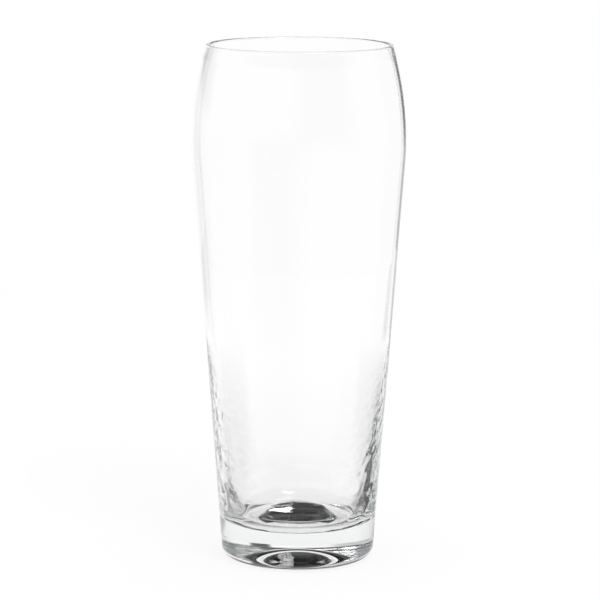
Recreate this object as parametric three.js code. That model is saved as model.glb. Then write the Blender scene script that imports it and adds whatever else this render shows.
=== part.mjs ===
// A tall drinking glass, blown as one piece of clear glass and standing on a ring under its base.
// Millimetres, +Z up. The origin is on the table, at the middle of the standing ring.
// Every section through the axis is alike, so one closed profile of radius against height makes it all.

import * as THREE from "three";

// Outside
const HEIGHT = 178;
const FOOT_RADIUS = 26.15; // where the straight wall would meet the table
const HEEL_ROUNDING = 3.8;
const WIDEST_RADIUS = 36.7;
const SHOULDER_ROUNDING = 73; // leads the straight wall into the widest place
const LIP_HEIGHT = 34; // from the widest place up to the top of the rim
const RIM_RADIUS = 32.05;

// Underside
const PUNT_RADIUS = 13;
const PUNT_DEPTH = 4.6;

// Inside
const WALL = 1.3;
const VALLEY_HEIGHT = 12.4; // from the table up to the lowest ring of the floor
const VALLEY_INSET = 10.15; // from the foot in to that ring
const VALLEY_SPREAD = 6.5; // pull of that ring on the floor's curve
const FLOOR_RISE = 5.4; // from that ring up to the middle of the floor
const CROWN_SPREAD = 13; // pull of the raised middle on the floor's curve
const CORNER_ROUNDING = 6.5; // leads the floor up into the wall
const CORNER_TILT = 12; // degrees off upright where the rounding passes into the bowl
const CORNER_SPREAD = 6; // pull of the rounded corner on the bowl's curve
const BOWL_HEIGHT = 78; // from here down the wall gets thicker
const WALL_SPREAD = 14; // pull of the straight wall on the bowl's curve

// Facets
const TURN_STEPS = 72;
const ROUND_STEPS = 6;
const BOWL_STEPS = 14;
const FLOOR_STEPS = 10;

const point = (radius, height) => new THREE.Vector2(radius, height);
const line = (from, to) => new THREE.LineCurve(from, to);
const arc = (centre, radius, from, to) =>
  new THREE.EllipseCurve(centre.x, centre.y, radius, radius, from, to, to < from);
const onArc = (centre, radius, angle) =>
  point(centre.x + radius * Math.cos(angle), centre.y + radius * Math.sin(angle));

// The straight wall leans out so that it touches the shoulder's circle.
const widestHeight = HEIGHT - LIP_HEIGHT;
const shoulder = point(WIDEST_RADIUS - SHOULDER_ROUNDING, widestHeight);
const footReach = FOOT_RADIUS - shoulder.x;
const lean = Math.atan2(widestHeight, footReach)
  - Math.acos(SHOULDER_ROUNDING / Math.hypot(footReach, widestHeight));

// The heel touches both the table and the straight wall.
const heelReach = HEEL_ROUNDING * (1 - Math.sin(lean)) / Math.cos(lean);
const heel = point(FOOT_RADIUS - heelReach, HEEL_ROUNDING);

// The lip leaves the widest place upright and curves in to the rim, a half circle across the wall.
const rimRounding = WALL / 2;
const rim = point(RIM_RADIUS - rimRounding, HEIGHT - rimRounding);
const rimInset = WIDEST_RADIUS - rim.x;
const rimRise = rim.y - widestHeight;
const lipRounding = (rimInset ** 2 + rimRise ** 2 - rimRounding ** 2) / (2 * (rimInset - rimRounding));
const lip = point(WIDEST_RADIUS - lipRounding, widestHeight);
const lipTurn = Math.atan2(rimRise, rim.x - lip.x);

// The punt is a dome pushed up into the base.
const puntRounding = (PUNT_RADIUS ** 2 + PUNT_DEPTH ** 2) / (2 * PUNT_DEPTH);
const punt = point(0, PUNT_DEPTH - puntRounding);
const puntEdge = Math.atan2(-punt.y, PUNT_RADIUS);

// Inside, the wall stays even down to the bowl, thickens there, and rounds into the floor,
// which rises again over the punt.
const leaning = (from, tilt, reach) =>
  point(from.x + reach * Math.sin(tilt), from.y + reach * Math.cos(tilt));
const cornerTilt = THREE.MathUtils.degToRad(CORNER_TILT);
const valley = point(FOOT_RADIUS - VALLEY_INSET, VALLEY_HEIGHT);
const corner = point(valley.x, VALLEY_HEIGHT + CORNER_ROUNDING);
const cornerTop = onArc(corner, CORNER_ROUNDING, -cornerTilt);
const insideWall = FOOT_RADIUS + BOWL_HEIGHT * Math.tan(lean) - WALL / Math.cos(lean);
const bowlTop = point(insideWall, BOWL_HEIGHT);
const wallPull = leaning(bowlTop, lean, -WALL_SPREAD);
const cornerPull = leaning(cornerTop, cornerTilt, CORNER_SPREAD);
const crown = point(0, VALLEY_HEIGHT + FLOOR_RISE);
const valleyPull = point(valley.x - VALLEY_SPREAD, valley.y);
const crownPull = point(CROWN_SPREAD, crown.y);

// The profile runs from the axis under the base, out and up to the rim, and down inside to the axis.
const stretches = [
  [arc(punt, puntRounding, Math.PI / 2, puntEdge), ROUND_STEPS],
  [line(point(PUNT_RADIUS, 0), point(heel.x, 0)), 1],
  [arc(heel, HEEL_ROUNDING, -Math.PI / 2, -lean), ROUND_STEPS],
  [line(onArc(heel, HEEL_ROUNDING, -lean), onArc(shoulder, SHOULDER_ROUNDING, -lean)), 1],
  [arc(shoulder, SHOULDER_ROUNDING, -lean, 0), ROUND_STEPS],
  [arc(lip, lipRounding, 0, lipTurn), ROUND_STEPS],
  [arc(rim, rimRounding, lipTurn, lipTurn + Math.PI), ROUND_STEPS],
  [arc(lip, lipRounding - WALL, lipTurn, 0), ROUND_STEPS],
  [arc(shoulder, SHOULDER_ROUNDING - WALL, 0, -lean), ROUND_STEPS],
  [line(onArc(shoulder, SHOULDER_ROUNDING - WALL, -lean), bowlTop), 1],
  [new THREE.CubicBezierCurve(bowlTop, wallPull, cornerPull, cornerTop), BOWL_STEPS],
  [arc(corner, CORNER_ROUNDING, -cornerTilt, -Math.PI / 2), ROUND_STEPS],
  [new THREE.CubicBezierCurve(valley, valleyPull, crownPull, crown), FLOOR_STEPS],
];
const profile = stretches.flatMap(([curve, steps], place) => curve.getPoints(steps).slice(place ? 1 : 0));
profile[0].x = 0;

const clearGlass = new THREE.MeshStandardMaterial({
  color: 0xe4ecea,
  roughness: 0.05,
  metalness: 0,
  transparent: true,
  opacity: 0.35,
});

const tumbler = new THREE.Mesh(new THREE.LatheGeometry(profile, TURN_STEPS), clearGlass);
tumbler.name = "tumbler";
tumbler.rotation.x = Math.PI / 2;

const drinkingGlass = new THREE.Group();
drinkingGlass.add(tumbler);

export default drinkingGlass;
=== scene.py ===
import math

import bpy
from mathutils import Matrix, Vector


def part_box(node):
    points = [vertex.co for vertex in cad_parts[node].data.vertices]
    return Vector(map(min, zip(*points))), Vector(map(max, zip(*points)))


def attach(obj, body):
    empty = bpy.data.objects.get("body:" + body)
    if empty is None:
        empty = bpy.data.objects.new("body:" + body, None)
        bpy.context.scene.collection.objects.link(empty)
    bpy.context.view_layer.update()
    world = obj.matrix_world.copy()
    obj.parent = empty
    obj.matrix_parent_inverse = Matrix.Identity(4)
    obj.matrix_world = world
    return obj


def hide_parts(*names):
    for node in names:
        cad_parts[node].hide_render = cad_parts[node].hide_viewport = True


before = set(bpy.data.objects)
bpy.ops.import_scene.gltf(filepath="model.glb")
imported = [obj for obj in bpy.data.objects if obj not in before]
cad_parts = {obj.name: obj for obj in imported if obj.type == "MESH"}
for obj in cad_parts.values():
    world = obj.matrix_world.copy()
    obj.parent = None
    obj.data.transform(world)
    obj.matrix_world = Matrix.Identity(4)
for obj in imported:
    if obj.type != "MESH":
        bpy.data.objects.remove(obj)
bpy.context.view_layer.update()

scene = bpy.context.scene
scene.view_settings.view_transform = "Standard"


# The glass itself: one gather of clear soda-lime glass, blown in a mould, cracked off at the top and melted
# to a round rim. A tool pushed a hollow up under the thick base, so that the floor rises over it, and the
# chilled glass is rippled low on the inside. Nothing is fixed to it; it stands on the ring round the hollow.
glass_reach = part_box("tumbler")[1]
height = glass_reach.z
widest_radius = glass_reach.x
foot_radius = 0.02615
heel_rounding = 0.0038
shoulder_rounding = 0.073
lip_height = 0.034
rim_radius = 0.03205
rim_rounding = 0.00078
rim_swell_length = 0.006
punt_radius = 0.013
punt_depth = 0.0046
punt_edge_rounding = 0.0012
wall = 0.0013
valley_height = 0.0124
valley_radius = 0.016
valley_spread = 0.0065
floor_rise = 0.0054
crown_spread = 0.013
corner_rounding = 0.0065
corner_tilt = math.radians(12)
corner_spread = 0.006
bowl_height = 0.078
wall_spread = 0.014
turn_steps = 256
weld = 0.000002
quarter = math.pi / 2


def on_arc(middle, radius, turn):
    """The point of a section's arc at an angle, as radius and height."""
    return middle[0] + radius * math.cos(turn), middle[1] + radius * math.sin(turn)


def arc(middle, radius, start, end, steps):
    """Points of a section along an arc, without the last one."""
    return [on_arc(middle, radius, start + (end - start) * step / steps) for step in range(steps)]


def straight(start, end, steps):
    """Points of a section along a straight line, without the last one."""
    return [tuple(a + (b - a) * step / steps for a, b in zip(start, end)) for step in range(steps)]


def bowed(start, start_pull, end_pull, end, steps):
    """Points of a section along a curve that leaves and arrives in the direction of its pulls."""
    points = []
    for step in range(steps):
        gone = step / steps
        left = 1 - gone
        shares = left ** 3, 3 * left ** 2 * gone, 3 * left * gone ** 2, gone ** 3
        corners = zip(start, start_pull, end_pull, end)
        points.append(tuple(sum(share * value for share, value in zip(shares, axis)) for axis in corners))
    return points


def leaning(start, tilt, reach):
    """The point that lies a way off along a line tilted outwards from upright."""
    return start[0] + reach * math.sin(tilt), start[1] + reach * math.cos(tilt)


def eased(value, start, end):
    """How far a value is on its way from start to end, from 0 to 1, with soft ends."""
    share = min(max((value - start) / (end - start), 0), 1)
    return share * share * (3 - 2 * share)


# The outside: a straight wall leans out into the shoulder, and the lip curves back in to the rim.
widest_height = height - lip_height
shoulder = (widest_radius - shoulder_rounding, widest_height)
foot_reach = foot_radius - shoulder[0]
lean = math.atan2(widest_height, foot_reach)
lean -= math.acos(shoulder_rounding / math.hypot(foot_reach, widest_height))
heel = (foot_radius - heel_rounding * (1 - math.sin(lean)) / math.cos(lean), heel_rounding)
half_wall = wall / 2
rim = (rim_radius - rim_rounding, height - rim_rounding)
rim_inset = widest_radius - rim[0]
rim_rise = rim[1] - widest_height
lip_rounding = rim_inset ** 2 + rim_rise ** 2 - half_wall ** 2
lip_rounding /= 2 * (rim_inset - half_wall)
lip = (widest_radius - lip_rounding, widest_height)
lip_turn = math.atan2(rim_rise, rim[0] - lip[0])
swell_turn = lip_turn - rim_swell_length / lip_rounding
rim_swell = rim_rounding - half_wall


def swelling(radius, swell, start, end, steps):
    """Points of a section up or down one side of the lip, where it swells into the melted rim."""
    points = []
    for step in range(steps):
        gone = start + (end - start) * step / steps
        swollen = radius + swell * eased(gone, 0, 1)
        points.append(on_arc(lip, swollen, swell_turn + (lip_turn - swell_turn) * gone))
    return points


# The underside: a dome, its edge rounded into the ring that the glass stands on.
punt_rounding = (punt_radius ** 2 + punt_depth ** 2) / (2 * punt_depth)
punt = (0, punt_depth - punt_rounding)
edge_reach = punt_rounding + punt_edge_rounding
edge = (math.sqrt(edge_reach ** 2 - (edge_reach - punt_depth) ** 2), punt_edge_rounding)
edge_turn = math.atan2(edge[1] - punt[1], edge[0])

# The inside: an even wall down to the bowl, which thickens and rounds into a floor that rises again.
bowl_top = (foot_radius + bowl_height * math.tan(lean) - wall / math.cos(lean), bowl_height)
corner = (valley_radius, valley_height + corner_rounding)
corner_top = on_arc(corner, corner_rounding, -corner_tilt)
wall_pull = leaning(bowl_top, lean, -wall_spread)
corner_pull = leaning(corner_top, corner_tilt, corner_spread)
valley = (valley_radius, valley_height)
valley_pull = (valley_radius - valley_spread, valley_height)
crown = (0, valley_height + floor_rise)
crown_pull = (crown_spread, crown[1])

# The whole section, from the axis under the base, out and up to the rim, and down inside to the axis.
section = arc(punt, punt_rounding, quarter, edge_turn, 20)
section += arc(edge, punt_edge_rounding, edge_turn - math.pi, -quarter, 6)
section += straight((edge[0], 0), (heel[0], 0), 6)
section += arc(heel, heel_rounding, -quarter, -lean, 24)
section += straight(on_arc(heel, heel_rounding, -lean), on_arc(shoulder, shoulder_rounding, -lean), 20)
section += arc(shoulder, shoulder_rounding, -lean, 0, 10)
section += arc(lip, lip_rounding, 0, swell_turn, 16)
section += swelling(lip_rounding, rim_swell, 0, 1, 10)
section += arc(rim, rim_rounding, lip_turn, lip_turn + math.pi, 22)
section += swelling(lip_rounding - wall, -rim_swell, 1, 0, 10)
section += arc(lip, lip_rounding - wall, swell_turn, 0, 16)
section += arc(shoulder, shoulder_rounding - wall, 0, -lean, 10)
section += straight(on_arc(shoulder, shoulder_rounding - wall, -lean), bowl_top, 10)
section += bowed(bowl_top, wall_pull, corner_pull, corner_top, 130)
section += arc(corner, corner_rounding, -corner_tilt, -quarter, 26)
section += bowed(valley, valley_pull, crown_pull, crown, 44)
section += [crown]
section[0] = (0, punt_depth)

# One point is drawn along the section and the line that it leaves is spun round the axis.
bpy.ops.object.select_all(action="DESELECT")
bpy.ops.mesh.primitive_plane_add(size=wall)
tumbler = bpy.context.object
tumbler.name = "blown_tumbler"
bpy.ops.object.mode_set(mode="EDIT")
bpy.ops.mesh.select_all(action="SELECT")
bpy.ops.mesh.merge(type="CENTER")
bpy.ops.transform.translate(value=(0, 0, punt_depth))
for here, there in zip(section, section[1:]):
    step = (there[0] - here[0], 0, there[1] - here[1])
    bpy.ops.mesh.extrude_vertices_move(TRANSFORM_OT_translate={"value": step})
bpy.ops.mesh.select_all(action="SELECT")
bpy.ops.mesh.spin(steps=turn_steps, angle=2 * math.pi, center=(0, 0, 0), axis=(0, 0, 1))
bpy.ops.mesh.select_all(action="SELECT")
bpy.ops.mesh.remove_doubles(threshold=weld)
bpy.ops.mesh.normals_make_consistent(inside=False)
bpy.ops.object.mode_set(mode="OBJECT")
bpy.ops.object.shade_smooth()

# The floor stays smooth, and so do the front and the back of the wall, more or less.
smooth_floor, uneven_corner = valley_radius * 1.05, valley_radius * 1.3
smooth_half, uneven_half = 0.013, 0.019


def unevenness(name, size, depth, at_sides, starts, full, fades, ends):
    """Pushes the inside wall in and out in a cloudy pattern, between four levels where it comes and goes."""
    uneven = tumbler.vertex_groups.new(name=name)
    for vertex in tumbler.data.vertices:
        radius = math.hypot(vertex.co.x, vertex.co.y)
        level = vertex.co.z
        outside = foot_radius + level * math.tan(lean)
        share = eased(level, starts, full) * (1 - eased(level, fades, ends))
        share *= eased(radius, smooth_floor, uneven_corner)
        share *= 1 - at_sides * (1 - eased(abs(vertex.co.x), smooth_half, uneven_half))
        if share > 0 and radius < outside - half_wall:
            uneven.add([vertex.index], share, "REPLACE")
    clouds = bpy.data.textures.new(name, "CLOUDS")
    clouds.noise_scale = size
    clouds.noise_depth = 1
    push = tumbler.modifiers.new(name, "DISPLACE")
    push.texture = clouds
    push.texture_coords = "LOCAL"
    push.vertex_group = name
    push.strength = depth
    push.mid_level = 0.5
    bpy.ops.object.modifier_apply(modifier=name)


# Two marks of the chilled glass: it sagged unevenly into the corner, and rippled finely up the lower wall.
sag_levels = {"starts": 0.0124, "full": 0.016, "fades": 0.022, "ends": 0.036}
ripple_levels = {"starts": 0.018, "full": 0.026, "fades": 0.040, "ends": 0.080}
unevenness("corner_sag", size=0.009, depth=0.0009, at_sides=1, **sag_levels)
unevenness("chill_ripple", size=0.0024, depth=0.00017, at_sides=0.75, **ripple_levels)


class Shade:
    """A socket of a shader, so that what is worked out from patterns can be written as sums and products."""

    def __init__(self, tree, socket=None):
        self.tree = tree
        self.socket = socket

    def node(self, kind, settings=None, inputs=None, output=0):
        """Adds a node of a kind with its settings and the values or links of its sockets."""
        added = self.tree.nodes.new("ShaderNode" + kind)
        for name, value in (settings or {}).items():
            setattr(added, name, value)
        for name, value in (inputs or {}).items():
            if isinstance(value, Shade):
                self.tree.links.new(value.socket, added.inputs[name])
            else:
                added.inputs[name].default_value = value
        return Shade(self.tree, added.outputs[output]) if added.outputs else None

    def beside(self, output):
        """Another output of the node that this socket is on."""
        return Shade(self.tree, self.socket.node.outputs[output])

    def maths(self, operation, *values):
        return self.node("Math", {"operation": operation}, dict(enumerate(values)))

    def root(self):
        return self.maths("SQRT", self)

    def highest(self, other):
        return self.maths("MAXIMUM", self, other)

    def ramp(self, start, end, low=0.0, high=1.0):
        """Goes softly from low to high as this value goes from start to end."""
        bounds = {"Value": self, "From Min": start, "From Max": end, "To Min": low, "To Max": high}
        return self.node("MapRange", {"interpolation_type": "SMOOTHSTEP"}, bounds)

    def mixed(self, other, share):
        """Goes from this value to another one by a share from 0 to 1."""
        return self + share * (other - self)

    def __add__(self, other):
        return self.maths("ADD", self, other)

    def __sub__(self, other):
        return self.maths("SUBTRACT", self, other)

    def __rsub__(self, other):
        return self.maths("SUBTRACT", other, self)

    def __mul__(self, other):
        return self.maths("MULTIPLY", self, other)

    def __truediv__(self, other):
        return self.maths("DIVIDE", self, other)

    def __rtruediv__(self, other):
        return self.maths("DIVIDE", other, self)

    __radd__ = __add__
    __rmul__ = __mul__


# Clear glass: all but colourless, a little grey-green through its thickness, and scuffed where it stands.
scuffed_level, clear_level = 0.0001, 0.0004
ring_soft = 0.001
scuff_roughness = 0.25
clear_glass = bpy.data.materials.new("clear_glass")
clear_glass.use_nodes = True
glass = Shade(clear_glass.node_tree)
glass.tree.nodes.clear()
place = glass.node("TexCoord", output="Object")
side = glass.node("SeparateXYZ", inputs={0: place}, output="X")
depth = side.beside("Y")
level = side.beside("Z")
reach = (side * side + depth * depth).root()
standing = 1 - level.ramp(scuffed_level, clear_level)
standing = standing * reach.ramp(edge[0] - ring_soft, edge[0] + ring_soft)
scuffs = glass.node("TexNoise", inputs={"Vector": place, "Scale": 900.0, "Detail": 3.0})
roughness = standing * scuffs.ramp(0.45, 0.65) * scuff_roughness
body = glass.node(
    "BsdfPrincipled",
    inputs={
        "Base Color": (1, 1, 1, 1),
        "Roughness": roughness,
        "IOR": 1.5,
        "Transmission Weight": 1.0,
    },
)
tint = glass.node("VolumeAbsorption", inputs={"Color": (0.86, 0.92, 0.92, 1), "Density": 2.0})
glass.node("OutputMaterial", inputs={"Surface": body, "Volume": tint})
tumbler.data.materials.append(clear_glass)

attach(tumbler, "root")
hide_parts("tumbler")


# The table that the glass stands on: plain white, with a little of its light from the lamp and the room, so
# that the glass keeps a faint shadow. What the glass bends and mirrors of it has painted shade: it is darker
# close in front, where no light falls, on both sides near the glass, and a little darker all round close to
# the glass. It is also darker in a narrow gap behind on the right and a little in a wide part behind on the
# left.
table_radius = 0.6
table_drop = 0.0002
lit_share = 0.14
# Painted shade: the unlit tone, the tones beside the glass and the lower near tone darken the table where
# the glass shows it.
unlit_tone, gap_tone, dim_tone, right_shade_tone, left_shade_tone = 0.03, 0.5, 0.8, 0.1, 0.4
shaded_near_tone, far_tone = 0.97, 1.0
gap_place = {"middle": 20.5, "half": 5.5, "soft": 2.5}
dim_place = {"middle": -42, "half": 20, "soft": 8}
tiny = 0.000001
bpy.ops.object.select_all(action="DESELECT")
bpy.ops.mesh.primitive_circle_add(radius=table_radius, vertices=96, fill_type="NGON")
bpy.ops.transform.translate(value=(0, 0, -table_drop))
table = bpy.context.object
table.name = "white_table"


def sector(right, away, reach, middle, half, soft):
    """How far a direction is within a sector round the glass, in degrees to the right of straight behind."""
    turn = math.radians(middle)
    facing = (right * math.sin(turn) + away * math.cos(turn)) / reach
    return facing.ramp(math.cos(math.radians(half + soft)), math.cos(math.radians(half - soft)))


table_white = bpy.data.materials.new("table_white")
table_white.use_nodes = True
white = Shade(table_white.node_tree)
white.tree.nodes.clear()
spot = white.node("TexCoord", output="Object")
right = white.node("SeparateXYZ", inputs={0: spot}, output="X")
away = right.beside("Y")
distance = white.node("VectorMath", {"operation": "LENGTH"}, {0: spot}, "Value") + tiny
# Painted shade on the table, seen only through the glass: nearly black close in front, dark beside the glass
# on both sides.
in_front = distance.ramp(0.02, 0.03) * (1 - distance.ramp(0.04, 0.11))
unlit = sector(right, away, distance, middle=180, half=72, soft=45) * in_front
gap = sector(right, away, distance, **gap_place) * distance.ramp(0.30, 0.42)
dim = sector(right, away, distance, **dim_place) * distance.ramp(0.35, 0.50)
near = distance.ramp(0.028, 0.045) * (1 - distance.ramp(0.10, 0.34))
painted_shade_right = sector(right, away, distance, middle=72, half=26, soft=9) * near
painted_shade_left = sector(right, away, distance, middle=-88, half=24, soft=5) * near
# Painted shade: the table is a little darker close to the glass all round.
bent_tone = distance.ramp(0.10, 0.30, shaded_near_tone, far_tone)
bent_tone = bent_tone.mixed(unlit_tone, unlit).mixed(gap_tone, gap).mixed(dim_tone, dim)
bent_tone = bent_tone.mixed(right_shade_tone, painted_shade_right).mixed(left_shade_tone, painted_shade_left)
seen = white.node("LightPath", output="Is Camera Ray")
bent = seen.beside("Is Glossy Ray").highest(seen.beside("Is Transmission Ray")) * (1 - seen)
glow_level = seen * (1 - lit_share) + bent * (bent_tone - lit_share)
glow = white.node("Emission", inputs={"Color": (1, 1, 1, 1), "Strength": glow_level})
lit = white.node("BsdfDiffuse", inputs={"Color": (lit_share, lit_share, lit_share, 1)})
both = white.node("AddShader", inputs={0: glow, 1: lit})
white.node("OutputMaterial", inputs={"Surface": both})
table.data.materials.append(table_white)


# The room: white where the camera sees it. What the glass bends and mirrors of it is a white sweep low down,
# which ends higher towards the camera, a grey stretch above it and a dark room on top. The sweep has the
# table's gap on the right and dim part on the left, and is greyer where the camera stands.
sweep_white = 0.99
room_grey = 0.08
room_dark = 0.012
room_light = 0.9
sweep_end_in_front, sweep_end_behind, sweep_soft = 23, 10, 8
camera_side_share = 0.65
low_gap_tone, high_gap_tone = 0.42, 0.12
low_dim_tone, high_dim_tone = 0.88, 0.6
room = bpy.data.worlds.new("studio_room")
room.use_nodes = True
scene.world = room
air = Shade(room.node_tree)
air.tree.nodes.clear()
way = air.node("TexCoord", output="Generated")
right = air.node("SeparateXYZ", inputs={0: way}, output="X")
away = right.beside("Y")
up = right.beside("Z")
level_part = (right * right + away * away).root() + tiny
rise = up.maths("ARCSINE", up) * math.degrees(1)
sweep_end = (away / level_part).ramp(0.1, 0.9, sweep_end_in_front, sweep_end_behind)
sweep = rise.ramp(sweep_end, sweep_end + sweep_soft, sweep_white, 0)
above = rise.ramp(24, 36, room_grey, room_dark)
low = 1 - rise.ramp(11, 17)
gap = sector(right, away, level_part, **gap_place) * low
dim = sector(right, away, level_part, **dim_place) * low
camera_side = sector(right, away, level_part, middle=152, half=22, soft=20) * rise.ramp(-8, 2)
tone = sweep.mixed(sweep * camera_side_share, camera_side)
tone = tone.mixed(low_gap_tone, gap).mixed(high_gap_tone, gap * rise.ramp(-7.5, -4.5))
tone = tone.mixed(low_dim_tone, dim).mixed(high_dim_tone, dim * rise.ramp(-2, 2))
path = air.node("LightPath", output="Is Camera Ray")
tone = tone.highest(above).mixed(room_light, path.beside("Is Diffuse Ray")).mixed(1.0, path)
backdrop = air.node("Background", inputs={"Color": (1, 1, 1, 1), "Strength": tone})
air.node("OutputWorld", inputs={"Surface": backdrop})

# One soft lamp, high up on the camera's side and a little to the right.
bpy.ops.object.light_add(type="AREA", location=(0.3, -0.6, 0.95))
lamp = bpy.context.object
lamp.name = "soft_lamp"
lamp.data.shape = "DISK"
lamp.data.size = 0.4
lamp.data.energy = 3.0
lamp.rotation_euler = (-lamp.location).to_track_quat("-Z", "Y").to_euler()

# The camera, a metre off and a little above the rim, with a long lens.
camera_distance = 1.0
camera_height = 0.2615
camera_aside = 0.0005
camera_pitch = math.radians(9.744)
camera_roll = math.radians(0.275)
bpy.ops.object.camera_add()
camera = bpy.context.object
camera.data.lens = 176.7
camera.data.sensor_width = 36
camera.data.clip_start = 0.01
camera.matrix_world = (
    Matrix.Translation((camera_aside, -camera_distance, camera_height))
    @ Matrix.Rotation(quarter - camera_pitch, 4, "X")
    @ Matrix.Rotation(camera_roll, 4, "Z")
)
scene.camera = camera

# Light may cross and bounce in the thick base many times before it leaves.
most_bounces = 128
scene.cycles.max_bounces = most_bounces
scene.cycles.transmission_bounces = most_bounces
scene.cycles.glossy_bounces = most_bounces
